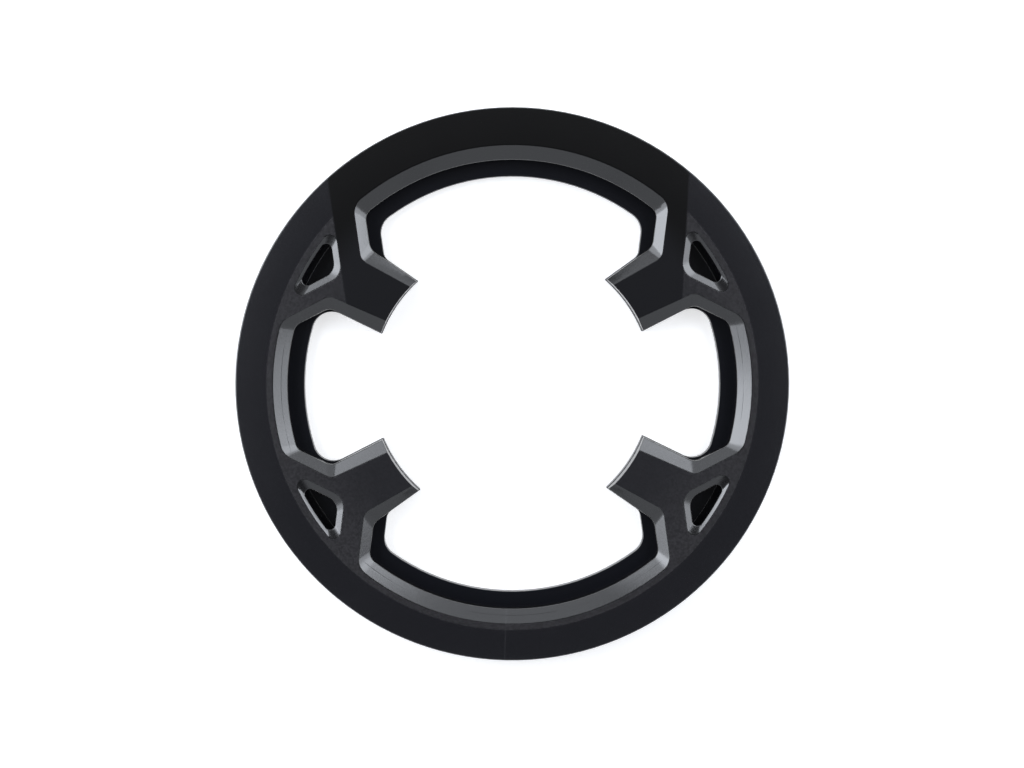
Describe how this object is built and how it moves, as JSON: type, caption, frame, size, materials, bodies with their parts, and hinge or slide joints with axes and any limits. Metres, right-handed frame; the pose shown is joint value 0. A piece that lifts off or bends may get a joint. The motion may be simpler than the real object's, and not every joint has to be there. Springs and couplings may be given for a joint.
{
  "type": "chainring with guard",
  "caption": "Toothed bicycle chainring with tabs for a four-arm crank, behind a larger moulded guard with bevelled arms and windows.",
  "frame": {"origin": "centre of the chainring on its back face, which seats on the crank's arms", "axes": "+Z along the ring's axis, out of the guard's face; +X and +Y between the arms, with the closer pairs of arms across X"},
  "size_m": [0.194, 0.194, 0.011],
  "materials": {
    "guard_plastic": "satin black moulded plastic with a fine grain",
    "chainring_alloy": "black anodised, turned faces",
    "screw_steel": "dark zinc-plated steel"
  },
  "bodies": {
    "root": {"guard": "guard_plastic", "chainring": "chainring_alloy", "guard_screws": "screw_steel"}
  },
  "joints": []
}
